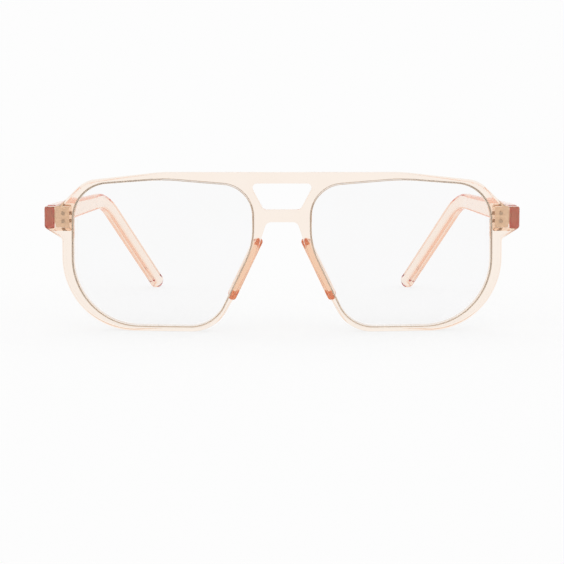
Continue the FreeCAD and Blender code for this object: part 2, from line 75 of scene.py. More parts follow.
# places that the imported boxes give
FOREMOST = FRONT_LOW[1]
TOP = FRONT_HIGH[2]
END_X = FRONT_HIGH[0]
JOINT_DEPTH = FRONT_HIGH[1] - FOREMOST
HINGE_Z = (LEAF_LOW[2] + LEAF_HIGH[2]) / 2
OVERALL_DEPTH = TEMPLE_HIGH[1] - FOREMOST
TEMPLE_FRONT = TEMPLE_LOW[1] - FOREMOST

# the curved sheet of the front
FRONT_RADIUS = 320.0
FRONT_THICKNESS = 4.0
GROOVE_DEPTH = 0.6
LENS_CLEARANCE = 0.05
LENS_SETBACK = 1.0
LENS_THICKNESS = 2.0
LENS_CHAMFER = 0.15
LENS_PITCH = 1.5
LENS_MARGIN = 0.9

# the ground edge of a lens, and the air between it and the clear blank
EDGE_THICKNESS = 0.15
EDGE_DEPTH = 1.6
EDGE_GAP = 0.02

# lens openings
LENS_SEAT = GROOVE_DEPTH - LENS_CLEARANCE
HALF_BRIDGE = LENS_LOW[0] + LENS_SEAT
OPENING_SIDE = LENS_HIGH[0] - LENS_SEAT
LENS_WIDTH = OPENING_SIDE - HALF_BRIDGE
RIM_BOTTOM = LENS_LOW[2] + LENS_SEAT
RIM_TOP = 2.8
LENS_TOP = TOP - RIM_TOP
BROW_CROWN = 1.7
CROWN_Z = LENS_TOP - BROW_CROWN
NOSE_FOOT = 11.7
NOSE_KNEE_DROP = 17.4
KNEE_Z = CROWN_Z - NOSE_KNEE_DROP
NOSE_SLANT = math.atan(NOSE_FOOT / (KNEE_Z - RIM_BOTTOM))
OPENING_TUCK = 0.4
OPENING_PEAK = 0.45
LENS_FOOT_RADIUS = 11.2
LENS_LOWER_RADIUS = 20.0
LENS_UPPER_RADIUS = 11.0
LENS_NASAL_RADIUS = 9.5
LENS_KNEE_RADIUS = 22.0
BROW_RADIUS = 60.0

# rims
RIM_SIDE = 3.5
OUTER_SIDE = OPENING_SIDE + RIM_SIDE
RIM_NOSE = 4.3
NOSE_BEND_INSET = 0.65
NOSE_BEND_DROP = 4.5
NOSE_BEND_RADIUS = 30.0
RIM_FOOT_INSET = 0.55
RIM_FOOT_RADIUS = 12.2
RIM_CORNER_RADIUS = 22.0

# bridge bars
BROW_BAR = 3.4
GAP_HEIGHT = 7.8
LOWER_BRIDGE = 3.8
RIM_BESIDE_GAP = 3.45
GAP_FLARE = 0.75
GAP_RADIUS = 1.3
ARCH_RADIUS = 2.0
GAP_TOP = TOP - BROW_BAR
GAP_BOTTOM = GAP_TOP - GAP_HEIGHT
ARCH_Z = GAP_BOTTOM - LOWER_BRIDGE

# shoulders and end pieces
SHOULDER_WIDTH = 7.2
SHOULDER_DROP = 2.7
SHOULDER_RADIUS = 10.0
SHOULDER_FOOT = 0.9
SHOULDER_FOOT_RADIUS = 4.0
END_TOP = 3.45
END_UPPER_RADIUS = 0.6
END_BOTTOM = 3.0
END_LOWER_RADIUS = 1.2
WEDGE_DROP = 6.3
WEDGE_RADIUS = 1.5

# the block behind each end piece that carries the hinge
BLOCK_INSET = 0.4
BLOCK_HALF_HEIGHT = 4.0
BLOCK_RAMP = 0.7
BLOCK_MARGIN = 1.0
BLOCK_PITCH = 0.3
BLOCK_CLEAR = 0.1

# softened edges of the front
RIM_EDGE = 0.8
END_EDGE_CUT = 0.4
END_EDGE_START = 2.0
END_EDGE_STOP = 1.0
OPENING_EDGE = 0.4
GAP_EDGE = 0.7
EDGE_STEPS = 6

# air between a metal leaf and the plastic it lies on
LEAF_AIR = 0.02

# nose pads: widths and lengths at the base, the middle and the back edge
PAD_DEPTH = 6.6
PAD_SINK = 0.4
PAD_INSET = 1.45
PAD_SPLAY = 0.7
PAD_RISE = 6.0
PAD_WIDTHS = (2.1, 3.0, 1.8)
PAD_LENGTHS = (20.5, 19.5, 14.5)
PAD_AROUND = 48
PAD_RINGS = 15
PAD_CROWN_RINGS = 7
PAD_CROWN_START = 0.9
PAD_CROWN_FIRST = 0.1
PAD_CROWN_WIDTH = 0.25
PAD_CROWN_TRIM = 1.6
PAD_FLATNESS = 0.9
PAD_END_SPREAD = 6
PAD_SHARP = math.radians(60)

# the sawn front end of a temple, matt for a short way back
SAWN_DEPTH = 0.4
SAWN_ROUGHNESS = 1.0

# rivets
RIVET_HEAD_RADIUS = 0.8
RIVET_HEAD_HEIGHT = 0.22
RIVET_SEGMENTS = 32
RIVET_RINGS = 16

# temples
TEMPLE_THICKNESS = 3.1
TEMPLE_HEIGHT = 7.2
TEMPLE_BEND_HEIGHT = 5.2
TEMPLE_STRAIGHT = 21.0
TEMPLE_TOE = math.radians(6.1)
TEMPLE_RISE = 0.9
EAR_START = 80.0
EAR_TOE = math.radians(22.8)
EAR_SLOPE = math.radians(41.0)
EAR_WIDTH = 5.0
EAR_UPPER_RADIUS = 22.0
EAR_LOWER_RADIUS = 15.0
TIP_FLAT = 0.2
TEMPLE_CORNER_RADIUS = 0.8
TOE_START_RADIUS = 150.0
TOE_RADIUS = 60.0
TEMPLE_EDGE = 0.6
EAR_EDGE_GAIN = 0.6
EDGE_GAIN_START = 2.0
EDGE_GAIN_END = 30.0
TEMPLE_STEP = 0.8
TEMPLE_PITCH = 1.2
TEMPLE_MARGIN = 0.5
BEYOND_START = 5.0
BEYOND_END = 10.0


# ---------------------------------------------------------------- outlines

def unit(vector):
    return vector / np.linalg.norm(vector)


def left_of(direction):
    return np.array((-direction[1], direction[0]))


def rounded_line(corners, closed=True, step=STEP):
    """Points along a line whose corners are rounded, and the direction to the left of it at each point.

    Corners are (u, v, radius). An open line keeps its first and last corner as sharp ends.
    """
    spots = [np.array(corner[:2], float) for corner in corners]
    count = len(spots)
    points = []
    lefts = []

    def straight(first, last):
        direction = unit(last - first)
        pieces = max(1, math.ceil(np.linalg.norm(last - first) / step))
        for share in np.arange(1, pieces) / pieces:
            points.append(first + (last - first) * share)
            lefts.append(left_of(direction))

    turned = []
    for index in range(count):
        if not closed and index in (0, count - 1):
            turned.append([(spots[index], None)])
            continue
        come = unit(spots[index] - spots[index - 1])
        leave = unit(spots[(index + 1) % count] - spots[index])
        turn = math.atan2(come[0] * leave[1] - come[1] * leave[0], come @ leave)
        radius = corners[index][2]
        side = math.copysign(1, turn)
        start = spots[index] - come * radius * math.tan(abs(turn) / 2)
        middle = start + left_of(come) * side * radius
        pieces = max(2, math.ceil(max(radius * abs(turn) / step, abs(turn) / ARC_STEP)))
        arc = []
        for angle in turn * np.arange(pieces + 1) / pieces:
            direction = come * math.cos(angle) + left_of(come) * math.sin(angle)
            left = left_of(direction)
            arc.append((middle - left * side * radius, left))
        turned.append(arc)
    for index in range(count):
        for point, left in turned[index]:
            points.append(point)
            lefts.append(left)
        if closed or index < count - 1:
            straight(turned[index][-1][0], turned[(index + 1) % count][0][0])
    for index in (0, -1) if not closed else ():
        near = points[1] - points[0] if index == 0 else points[-1] - points[-2]
        lefts[index] = left_of(unit(near))
    return np.array(points), np.array(lefts)


def inside(points, loop):
    """Which of the points lie inside a closed loop."""
    hits = np.zeros(len(points), int)
    for (u0, v0), (u1, v1) in zip(loop, np.roll(loop, -1, axis=0)):
        crossing = (v0 > points[:, 1]) != (v1 > points[:, 1])
        if v0 != v1:
            along = u0 + (points[:, 1] - v0) / (v1 - v0) * (u1 - u0)
            hits += crossing & (points[:, 0] < along)
    return hits % 2 == 1


def grid_inside(low, high, pitch, loop, margin):
    """A square grid of points within a loop and not too near it."""
    u, v = np.meshgrid(np.arange(low[0], high[0], pitch), np.arange(low[1], high[1], pitch))
    points = np.column_stack((u.ravel(), v.ravel()))
    gap = np.full(len(points), np.inf)
    for start in range(0, len(loop), 64):
        apart = points[:, None] - loop[None, start:start + 64]
        gap = np.minimum(gap, np.hypot(apart[..., 0], apart[..., 1]).min(axis=1))
    return points[inside(points, loop) & (gap > margin)]


# ---------------------------------------------------------------- meshes

def quarter_round(radius, side, steps, closing):
    """Rings of a rounded edge, from the face to the wall, or from the wall to the face when closing."""
    angles = np.linspace(0, math.pi / 2, steps + 1)
    rings = [(radius * (1 - math.sin(a)), side, radius * (1 - math.cos(a))) for a in angles]
    return rings[::-1] if closing else rings


def mesh_object(name, vertices, faces, sharp=SHARP):
    """A smooth closed mesh with its faces turned outwards, its flat faces kept flat by weighted normals."""
    mesh = bpy.data.meshes.new(name)
    mesh.from_pydata((np.asarray(vertices) * MM).tolist(), [], faces)
    shaped = bmesh.new()
    shaped.from_mesh(mesh)
    bmesh.ops.remove_doubles(shaped, verts=shaped.verts, dist=MERGE_WITHIN * MM)
    bmesh.ops.recalc_face_normals(shaped, faces=shaped.faces)
    shaped.to_mesh(mesh)
    shaped.free()
    mesh.shade_smooth()
    mesh.set_sharp_from_angle(angle=sharp)
    draft = bpy.data.objects.new(name, mesh)
    bpy.context.scene.collection.objects.link(draft)
    weighted = draft.modifiers.new("weighted_normals", "WEIGHTED_NORMAL")
    weighted.keep_sharp = True
    weighted.weight = FLAT_WEIGHT
    return plain(draft)


def plain(draft):
    """The object with its modifiers worked into a plain mesh."""
    depsgraph = bpy.context.evaluated_depsgraph_get()
    mesh = bpy.data.meshes.new_from_object(draft.evaluated_get(depsgraph), depsgraph=depsgraph)
    name = draft.name
    bpy.data.objects.remove(draft)
    mesh.name = name
    piece = bpy.data.objects.new(name, mesh)
    piece.name = name
    bpy.context.scene.collection.objects.link(piece)
    return piece


def triangle_areas(corners):
    along = corners[:, 1] - corners[:, 0]
    across = corners[:, 2] - corners[:, 0]
    return abs(along[:, 0] * across[:, 1] - along[:, 1] * across[:, 0]) / 2


def parted(triangles, borders):
    """The patches of triangles that the borders part from each other."""
    walls = {frozenset(border) for border in borders}
    beside = {}
    for index, triangle in enumerate(triangles.tolist()):
        for first, last in zip(triangle, triangle[1:] + triangle[:1]):
            beside.setdefault(frozenset((first, last)), []).append(index)
    neighbours = [[] for _ in triangles]
    for edge, pair in beside.items():
        if len(pair) == 2 and edge not in walls:
            neighbours[pair[0]].append(pair[1])
            neighbours[pair[1]].append(pair[0])
    waiting = set(range(len(triangles)))
    patches = []
    while waiting:
        patch = [waiting.pop()]
        for index in patch:
            fresh = [other for other in neighbours[index] if other in waiting]
            waiting.difference_update(fresh)
            patch += fresh
        patches.append(patch)
    return patches


def plate(name, edges, place, front_grid=(), back_grid=()):
    """A closed plate with shaped edges.

    Each edge is (points, inward directions, rings), the first one being the outline and the others its
    holes. A ring is (inset, side, depth below that side), and place turns flat points, side and depth into
    space. The grids are further points of the two faces.
    """
    vertices = []
    faces = []
    first_rings = []
    last_rings = []
    total = 0
    for points, inward, rings in edges:
        count = len(points)
        for inset, side, depth in rings:
            flat = points + inward * np.broadcast_to(inset, count)[:, None]
            vertices.append(place(flat, side, np.broadcast_to(depth, count)))
        for ring in range(len(rings) - 1):
            here = total + ring * count
            for k in range(count):
                after = (k + 1) % count
                faces.append((here + k, here + after, here + count + after, here + count + k))
        insets = [np.broadcast_to(rings[end][0], count)[:, None] for end in (0, -1)]
        first_rings.append((points + inward * insets[0], total))
        last_rings.append((points + inward * insets[1], total + (len(rings) - 1) * count))
        total += len(rings) * count
    for side, ring_list, grid in ((FRONT, first_rings, front_grid), (BACK, last_rings, back_grid)):
        flat = [points for points, _ in ring_list]
        numbers = np.concatenate([start + np.arange(len(points)) for points, start in ring_list])
        borders = []
        base = 0
        for points in flat:
            borders += [(base + k, base + (k + 1) % len(points)) for k in range(len(points))]
            base += len(points)
        if len(grid):
            flat.append(np.asarray(grid))
            vertices.append(place(np.asarray(grid), side, np.zeros(len(grid))))
            numbers = np.concatenate((numbers, total + np.arange(len(grid))))
            total += len(grid)
        spots = np.concatenate(flat)
        _, _, triangles, origins, _, _ = delaunay_2d_cdt(spots.tolist(), borders, [], 0, 1e-6)
        if any(not origin for origin in origins):
            raise ValueError(f"{name}: the outlines cross")
        corner = np.array([origin[0] for origin in origins])
        triangles = corner[np.array([tuple(triangle) for triangle in triangles])]
        for patch in parted(triangles, borders):
            areas = triangle_areas(spots[triangles[patch]])
            middle = spots[triangles[patch]].mean(axis=1)[[np.argmax(areas)]]
            in_holes = [inside(middle, hole)[0] for hole in flat[1:len(ring_list)]]
            if areas.sum() > SLIVER and inside(middle, flat[0])[0] and not any(in_holes):
                faces += numbers[triangles[patch]].tolist()
    return mesh_object(name, np.concatenate(vertices), faces)


# ---------------------------------------------------------------- the front

def smooth(value, low, high):
    """0 below low, 1 above high, and a soft ramp between them."""
    share = np.clip((value - low) / (high - low), 0, 1)
    return share * share * (3 - 2 * share)


def slab(x, depth):
    """How far back a point of the curved sheet lies, at a depth below its front face."""
    return FRONT_RADIUS - np.sqrt((FRONT_RADIUS - depth) ** 2 - x ** 2)


def on_front(flat, side, depth):
    x, z = flat[:, 0], flat[:, 1]
    if side == FRONT:
        y = slab(x, depth)
    else:
        back = slab(x, FRONT_THICKNESS)
        edge = OPENING_SIDE + BLOCK_INSET
        block = smooth(abs(x), edge, edge + BLOCK_RAMP)
        block *= smooth(BLOCK_HALF_HEIGHT - abs(z - HINGE_Z), 0, BLOCK_RAMP)
        y = back + block * (JOINT_DEPTH - LEAF_AIR - back) - depth
    return np.column_stack((x, y + FOREMOST, z))


def both_sides(corners):
    """Half an outline, from the nose round to the middle of the brow, completed on the other side."""
    return corners + [(-x, z, radius) for x, z, radius in reversed(corners)]


def front_outline():
    return both_sides([
        (HALF_BRIDGE - RIM_NOSE, ARCH_Z, ARCH_RADIUS),
        (HALF_BRIDGE - NOSE_BEND_INSET, KNEE_Z - NOSE_BEND_DROP, NOSE_BEND_RADIUS),
        (HALF_BRIDGE + NOSE_FOOT - RIM_FOOT_INSET, 0, RIM_FOOT_RADIUS),
        (OUTER_SIDE, 0, RIM_CORNER_RADIUS),
        (OUTER_SIDE, HINGE_Z - WEDGE_DROP, WEDGE_RADIUS),
        (END_X, HINGE_Z - END_BOTTOM, END_LOWER_RADIUS),
        (END_X, HINGE_Z + END_TOP, END_UPPER_RADIUS),
        (OUTER_SIDE + SHOULDER_FOOT, HINGE_Z + END_TOP, SHOULDER_FOOT_RADIUS),
        (OUTER_SIDE - SHOULDER_WIDTH, TOP - SHOULDER_DROP, SHOULDER_RADIUS),
        (HALF_BRIDGE + LENS_WIDTH / 2, TOP, BROW_RADIUS),
    ])


def gap_outline():
    return both_sides([
        (HALF_BRIDGE - RIM_BESIDE_GAP, GAP_BOTTOM, GAP_RADIUS),
        (HALF_BRIDGE + GAP_FLARE, GAP_TOP, GAP_RADIUS),
    ])


def opening_outline(sign):
    """The lens opening, anticlockwise on either side."""
    corners = [
        (HALF_BRIDGE + NOSE_FOOT, RIM_BOTTOM, LENS_FOOT_RADIUS),
        (OPENING_SIDE, RIM_BOTTOM, LENS_LOWER_RADIUS),
        (OPENING_SIDE - OPENING_TUCK, CROWN_Z, LENS_UPPER_RADIUS),
        (HALF_BRIDGE + LENS_WIDTH / 2, LENS_TOP + OPENING_PEAK, BROW_RADIUS),
        (HALF_BRIDGE, CROWN_Z, LENS_NASAL_RADIUS),
        (HALF_BRIDGE, KNEE_Z, LENS_KNEE_RADIUS),
    ]
    return [(sign * x, z, radius) for x, z, radius in corners[::sign]]


def wall_rings(radius, middle=()):
    """A rounded front edge, the wall with any rings of its own, and a rounded back edge."""
    rings = quarter_round(radius, FRONT, EDGE_STEPS, closing=False)
    rings += list(middle)
    rings += quarter_round(radius, BACK, EDGE_STEPS, closing=True)
    return rings


def front():
    """Both rims, the bridge and the end pieces, with the lens grooves."""
    groove_front = LENS_SETBACK - LENS_CLEARANCE
    groove_back = LENS_SETBACK + LENS_THICKNESS + LENS_CLEARANCE
    groove = [
        (0.0, FRONT, groove_front),
        (GROOVE_DEPTH, FRONT, groove_front),
        (GROOVE_DEPTH, FRONT, groove_back),
        (0.0, FRONT, groove_back),
    ]
    outline, inward = rounded_line(front_outline())
    towards_end = smooth(abs(outline[:, 0]), OUTER_SIDE - END_EDGE_START, END_X - END_EDGE_STOP)
    edge_radius = RIM_EDGE - END_EDGE_CUT * towards_end
    edges = [(outline, inward, wall_rings(edge_radius))]
    for sign in SIDES.values():
        points, left = rounded_line(opening_outline(sign))
        edges.append((points, -left, wall_rings(OPENING_EDGE, middle=groove)))
    points, left = rounded_line(gap_outline())
    edges.append((points, -left, wall_rings(GAP_EDGE)))
    grid = []
    for sign in SIDES.values():
        low = (OPENING_SIDE, HINGE_Z - BLOCK_HALF_HEIGHT - BLOCK_MARGIN)
        high = (END_X, HINGE_Z + BLOCK_HALF_HEIGHT + BLOCK_MARGIN)
        half = outline[outline[:, 0] > 0]
        points = grid_inside(low, high, BLOCK_PITCH, half, edge_radius.max() + BLOCK_CLEAR)
        grid.append(points * (sign, 1))
    return plate("front_frame_shell", edges, on_front, back_grid=np.concatenate(grid))


def lens(side):
    """The clear blank of a lens, curved like the front, with small chamfers."""
    sign = SIDES[side]

    def place(flat, face, depth):
        below = LENS_SETBACK + (depth if face == FRONT else LENS_THICKNESS - depth)
        return np.column_stack((flat[:, 0], slab(flat[:, 0], below) + FOREMOST, flat[:, 1]))

    points, left = rounded_line(opening_outline(sign))
    rim = points - left * (LENS_SEAT - EDGE_THICKNESS - EDGE_GAP)
    rings = [
        (LENS_CHAMFER, FRONT, 0),
        (0, FRONT, LENS_CHAMFER),
        (0, BACK, LENS_CHAMFER),
        (LENS_CHAMFER, BACK, 0),
    ]
    grid = grid_inside(rim.min(axis=0), rim.max(axis=0), LENS_PITCH, rim, LENS_MARGIN)
    return plate(f"lens_{side}_blank", [(rim, left, rings)], place, grid, grid)


# ---------------------------------------------------------------- nose pads

def pad_size(sizes, share):
    """A width or length at a share of the pad's depth, from its sizes at the base, middle and back edge."""
    base, belly, edge = sizes
    bulge = 4 * share * (1 - share)
    return base * (1 - share) + edge * share + (belly - (base + edge) / 2) * bulge


def nose_pad(side):
    """A fin behind the nose edge of the rim, with a round back edge."""
    sign = SIDES[side]
    crown = 1 - PAD_CROWN_START
    crown_shares = 1 - crown * (1 - np.sin(np.linspace(PAD_CROWN_FIRST, 1, PAD_CROWN_RINGS) * math.pi / 2))
    shares = np.concatenate((np.linspace(0, PAD_CROWN_START, PAD_RINGS), crown_shares))
    vertices = []
    for share in shares:
        past_crown = max(0.0, (share - PAD_CROWN_START) / crown)
        closing = math.sqrt(max(0.0, 1 - past_crown ** 2))
        width = pad_size(PAD_WIDTHS, share) * (PAD_CROWN_WIDTH + (1 - PAD_CROWN_WIDTH) * closing)
        long = pad_size(PAD_LENGTHS, share) - (1 - closing) * PAD_CROWN_TRIM
        lean = PAD_INSET - PAD_SPLAY * share
        x0 = HALF_BRIDGE + NOSE_FOOT / 2 - PAD_RISE * math.sin(NOSE_SLANT) - lean * math.cos(NOSE_SLANT)
        z0 = (RIM_BOTTOM + KNEE_Z) / 2 + PAD_RISE * math.cos(NOSE_SLANT) - lean * math.sin(NOSE_SLANT)
        y = FRONT_THICKNESS - PAD_SINK + (PAD_DEPTH + PAD_SINK) * share
        for k in range(PAD_AROUND):
            angle = 2 * math.pi * k / PAD_AROUND
            c, s = math.cos(angle), math.sin(angle)
            across = width / 2 * math.copysign(abs(c) ** PAD_FLATNESS, c)
            end = math.copysign(1 if abs(s) > 1e-9 else 0, s) * min(1, abs(s) * PAD_END_SPREAD)
            along = (long - width) / 2 * end + width / 2 * s
            vertices.append((
                sign * (x0 + across * math.cos(NOSE_SLANT) - along * math.sin(NOSE_SLANT)),
                y + FOREMOST,
                z0 + across * math.sin(NOSE_SLANT) + along * math.cos(NOSE_SLANT),
            ))
    faces = []
    for ring in range(len(shares) - 1):
        here = ring * PAD_AROUND
        for k in range(PAD_AROUND):
            after = (k + 1) % PAD_AROUND
            faces.append((here + k, here + after, here + PAD_AROUND + after, here + PAD_AROUND + k))
    faces.append(tuple(range(PAD_AROUND)))
    faces.append(tuple(range((len(shares) - 1) * PAD_AROUND, len(shares) * PAD_AROUND)))
    return mesh_object(f"nose_pad_{side}_fin", vertices, faces, sharp=PAD_SHARP)


# ---------------------------------------------------------------- temples

def temple_profile():
    """The side outline of a temple, as depth and height."""
    half = EAR_WIDTH / 2
    cos, sin = math.cos(EAR_SLOPE), math.sin(EAR_SLOPE)
    tip_y = OVERALL_DEPTH - half - TIP_FLAT * (cos + sin - 1)
    tip_z = half + TIP_FLAT * (cos + sin - 1)
    high = HINGE_Z + TEMPLE_RISE + TEMPLE_BEND_HEIGHT / 2
    low = HINGE_Z + TEMPLE_RISE - TEMPLE_BEND_HEIGHT / 2
    up_run = (high - tip_z - half * cos) / sin
    low_run = (low - tip_z + half * cos) / sin
    return [
        (TEMPLE_FRONT, HINGE_Z - TEMPLE_HEIGHT / 2, TEMPLE_CORNER_RADIUS),
        (tip_y - half * sin - low_run * cos, low, EAR_LOWER_RADIUS),
        (tip_y - half * sin + half * cos, tip_z - half * cos - half * sin, half - TIP_FLAT),
        (tip_y + half * sin + half * cos, tip_z + half * cos - half * sin, half - TIP_FLAT),
        (tip_y + half * sin - up_run * cos, high, EAR_UPPER_RADIUS),
        (TEMPLE_FRONT, HINGE_Z + TEMPLE_HEIGHT / 2, TEMPLE_CORNER_RADIUS),
    ]


def temple_plan():
    """The outer and inner faces of a temple seen from above, each as depth and x."""
    toe, ear = math.tan(TEMPLE_TOE), math.tan(EAR_TOE)
    toe_y = TEMPLE_FRONT + TEMPLE_STRAIGHT
    ear_y = TEMPLE_FRONT + EAR_START
    end_y = OVERALL_DEPTH + BEYOND_END
    ear_x = END_X - (ear_y - toe_y) * toe
    end_x = ear_x - (end_y - ear_y) * ear
    bend = (TEMPLE_TOE + EAR_TOE) / 2
    half_turn = (EAR_TOE - TEMPLE_TOE) / 2
    inner_x = END_X - TEMPLE_THICKNESS + LEAF_AIR
    start_y = TEMPLE_FRONT - BEYOND_START
    mitre = TEMPLE_THICKNESS / math.cos(half_turn)
    outer = [
        (start_y, END_X, 0),
        (toe_y, END_X, TOE_START_RADIUS),
        (ear_y, ear_x, TOE_RADIUS),
        (end_y, end_x, 0),
    ]
    inner = [
        (start_y, inner_x, 0),
        (toe_y - TEMPLE_THICKNESS * math.tan(TEMPLE_TOE / 2), inner_x, TOE_START_RADIUS - TEMPLE_THICKNESS),
        (ear_y - mitre * math.sin(bend), ear_x - mitre * math.cos(bend), TOE_RADIUS - TEMPLE_THICKNESS),
        (end_y, end_x - TEMPLE_THICKNESS / math.cos(EAR_TOE), 0),
    ]
    return [rounded_line(line, closed=False, step=1.0)[0] for line in (outer, inner)]


def temple(side):
    """A flat arm that toes in past the hinge and turns down behind the ear."""
    sign = SIDES[side]
    outer, inner = temple_plan()

    def place(flat, face, depth):
        y, z = flat[:, 0], flat[:, 1]
        x_out = np.interp(y, outer[:, 0], outer[:, 1])
        x_in = np.interp(y, inner[:, 0], inner[:, 1])
        share = depth / TEMPLE_THICKNESS
        share = share if face == FRONT else 1 - share
        return np.column_stack((sign * (x_out + (x_in - x_out) * share), y + FOREMOST, z))

    points, left = rounded_line(temple_profile(), step=TEMPLE_STEP)
    along = smooth(points[:, 0], TEMPLE_FRONT + EDGE_GAIN_START, TEMPLE_FRONT + EDGE_GAIN_END)
    radius = TEMPLE_EDGE + EAR_EDGE_GAIN * along
    inner_loop = points + left * radius[:, None]
    grid = grid_inside(points.min(axis=0), points.max(axis=0), TEMPLE_PITCH, inner_loop, TEMPLE_MARGIN)
    return plate(f"temple_{side}_arm", [(points, left, wall_rings(radius))], place, grid, grid)


# ---------------------------------------------------------------- swept and repeated pieces

def new_tree(name, sizes):
    """An empty geometry tree with named sizes, a finish, and one geometry in and out."""
    tree = bpy.data.node_groups.new(name, "GeometryNodeTree")
    tree.interface.new_socket("Outline", in_out="INPUT", socket_type="NodeSocketGeometry")
    for size in sizes:
        tree.interface.new_socket(size, in_out="INPUT", socket_type="NodeSocketFloat")
    tree.interface.new_socket("Finish", in_out="INPUT", socket_type="NodeSocketMaterial")
    tree.interface.new_socket("Piece", in_out="OUTPUT", socket_type="NodeSocketGeometry")
    given = tree.nodes.new("NodeGroupInput")
    return tree, given


def node(tree, kind, links=(), **values):
    """A node with some inputs linked by name and others set."""
    made = tree.nodes.new(kind)
    for name, source in links:
        tree.links.new(source, made.inputs[name])
    for name, value in values.items():
        made.inputs[name.replace("_", " ")].default_value = value
    return made


def close_tree(tree, given, geometry):
    """Real geometry with its finish, as the tree's result."""
    rounded = node(tree, "GeometryNodeSetShadeSmooth", [("Geometry", geometry)])
    real = node(tree, "GeometryNodeRealizeInstances", [("Geometry", rounded.outputs["Geometry"])])
    finished = node(tree, "GeometryNodeSetMaterial",
                    [("Geometry", real.outputs["Geometry"]), ("Material", given.outputs["Finish"])])
    result = tree.nodes.new("NodeGroupOutput")
    tree.links.new(finished.outputs["Geometry"], result.inputs["Piece"])
    return tree


def band_tree():
    """A band of rectangular section swept round an outline."""
    tree, given = new_tree("ground_edge_band", ("Thickness", "Depth"))
    line = node(tree, "GeometryNodeMeshToCurve", [("Mesh", given.outputs["Outline"])])
    section = node(tree, "GeometryNodeCurvePrimitiveQuadrilateral",
                   [("Width", given.outputs["Depth"]), ("Height", given.outputs["Thickness"])])
    swept = node(tree, "GeometryNodeCurveToMesh",
                 [("Curve", line.outputs["Curve"]), ("Profile Curve", section.outputs["Curve"])])
    return close_tree(tree, given, swept.outputs["Mesh"])


def rivet_tree():
    """Pins with low round heads, one at each point of a line, along +Z of the tree."""
    tree, given = new_tree("peened_rivets", ("Pin Radius", "Pin Length", "Head Radius", "Head Height"))
    pin = node(tree, "GeometryNodeMeshCylinder",
               [("Radius", given.outputs["Pin Radius"]), ("Depth", given.outputs["Pin Length"])],
               Vertices=RIVET_SEGMENTS)
    half = node(tree, "ShaderNodeMath", [(0, given.outputs["Pin Length"])])
    half.operation = "MULTIPLY"
    half.inputs[1].default_value = -0.5
    lowered = node(tree, "ShaderNodeCombineXYZ", [("Z", half.outputs["Value"])])
    sunk = node(tree, "GeometryNodeTransform",
                [("Geometry", pin.outputs["Mesh"]), ("Translation", lowered.outputs["Vector"])])
    ball = node(tree, "GeometryNodeMeshUVSphere", Segments=RIVET_SEGMENTS, Rings=RIVET_RINGS, Radius=1.0)
    squat = node(tree, "ShaderNodeCombineXYZ",
                 [("X", given.outputs["Head Radius"]), ("Y", given.outputs["Head Radius"]),
                  ("Z", given.outputs["Head Height"])])
    head = node(tree, "GeometryNodeTransform",
                [("Geometry", ball.outputs["Mesh"]), ("Scale", squat.outputs["Vector"])])
    rivet = node(tree, "GeometryNodeJoinGeometry")
    tree.links.new(sunk.outputs["Geometry"], rivet.inputs["Geometry"])
    tree.links.new(head.outputs["Geometry"], rivet.inputs["Geometry"])
    placed = node(tree, "GeometryNodeInstanceOnPoints",
                  [("Points", given.outputs["Outline"]), ("Instance", rivet.outputs["Geometry"])])
    return close_tree(tree, given, placed.outputs["Instances"])


def grown(name, vertices, edges, tree, sizes, finish):
    """The plain mesh that a tree makes from some points and edges, in metres."""
    mesh = bpy.data.meshes.new(name)
    mesh.from_pydata([tuple(vertex) for vertex in vertices], edges, [])
    draft = bpy.data.objects.new(name, mesh)
    bpy.context.scene.collection.objects.link(draft)
    modifier = draft.modifiers.new("tree", "NODES")
    modifier.node_group = tree
    values = {**sizes, "Finish": finish}
    for socket in tree.interface.items_tree:
        if socket.in_out == "INPUT" and socket.name in values:
            modifier[socket.identifier] = values[socket.name]
    piece = plain(draft)
    piece.data.set_sharp_from_angle(angle=SHARP)
    return piece


def lens_edge(side, tree, finish):
    """The ground edge of a lens, a matt band in the groove of the rim, whose colour is painted shade."""
    points, left = rounded_line(opening_outline(SIDES[side]))
    line = points - left * (LENS_SEAT - EDGE_THICKNESS / 2)
    y = slab(line[:, 0], LENS_SETBACK + LENS_THICKNESS / 2) + FOREMOST
    vertices = np.column_stack((line[:, 0], y, line[:, 1])) * MM
    edges = [(k, (k + 1) % len(line)) for k in range(len(line))]
    sizes = {"Thickness": EDGE_THICKNESS * MM, "Depth": EDGE_DEPTH * MM}
    return grown(f"lens_{side}_ground_edge_painted_shade", vertices, edges, tree, sizes, finish)


def rivets(cad_node, heading, tree, finish):
    """Rivets on the row of the CAD pins, with their heads on the side that heading points to."""
    low, high = box_mm(cad_node)
    extent = high - low
    along = int(np.argmax(np.abs(heading)))
    across = [axis for axis in range(3) if axis != along]
    row = max(across, key=lambda axis: extent[axis])
    radius = min(extent[axis] for axis in across) / 2
    seat = (low + high) / 2
    seat[along] = high[along] if heading[along] > 0 else low[along]
    turn = Vector((0, 0, 1)).rotation_difference(Vector(heading)).to_matrix()
    points = []
    for place in (low[row] + radius, high[row] - radius):
        seat[row] = place
        points.append(turn.inverted() @ Vector(seat * MM))
    sizes = {
        "Pin Radius": radius * MM,
        "Pin Length": extent[along] * MM,
        "Head Radius": RIVET_HEAD_RADIUS * MM,
        "Head Height": RIVET_HEAD_HEIGHT * MM,
    }
    piece = grown(f"{cad_node}_peened", points, [], tree, sizes, finish)
    piece.data.transform(turn.to_4x4())
    return piece


# ---------------------------------------------------------------- materials

PLASTIC_IOR = 1.49

# grain sizes, as noise cells to a metre
CLOUD_SCALE = 90
RIPPLE_SCALE = 160
GLOSS_SCALE = 400
SCRATCH_SCALE = 700
STREAK_SCALE = 900

GROUND_ROUGHNESS = (0.55, 0.8)
GROUND_BUMP = 1e-5
RAMP_START = 0.3
RAMP_END = 0.7


